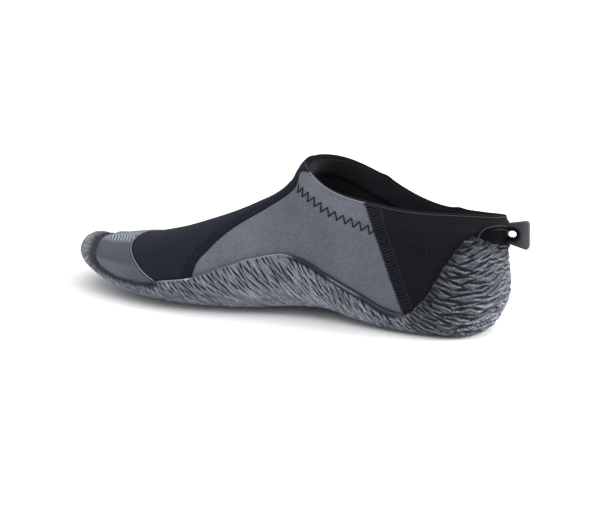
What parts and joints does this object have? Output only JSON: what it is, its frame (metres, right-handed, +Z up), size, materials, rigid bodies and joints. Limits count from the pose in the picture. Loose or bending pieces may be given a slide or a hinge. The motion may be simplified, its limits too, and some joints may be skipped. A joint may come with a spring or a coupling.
{
  "type": "wetsuit bootie",
  "caption": "Low-cut neoprene wetsuit bootie for the right foot with a wrapped ribbed rubber sole, mesh toe cap and a heel pull tab with a lanyard hole.",
  "frame": {"origin": "centre of the heel's flat spot, on the floor", "axes": "+X towards the toe, +Y towards the inner (medial) side, the wearer's left, +Z up"},
  "size_m": [0.2837, 0.0978, 0.0941],
  "materials": {
    "sole_rubber": "matt grey moulded rubber with interlaced strands",
    "neoprene": "knit-faced neoprene, grey sides, black vamp and quarters",
    "foam": "black fabric-topped foam",
    "toe_mesh": "grey ribbed mesh",
    "piping": "grey woven piping",
    "tab_rubber": "satin black moulded rubber"
  },
  "bodies": {
    "root": {"outsole": "sole_rubber", "upper": "neoprene", "insole": "foam", "toe_cap": "toe_mesh", "toe_cap_piping": "piping", "pull_tab": "tab_rubber"}
  },
  "joints": []
}
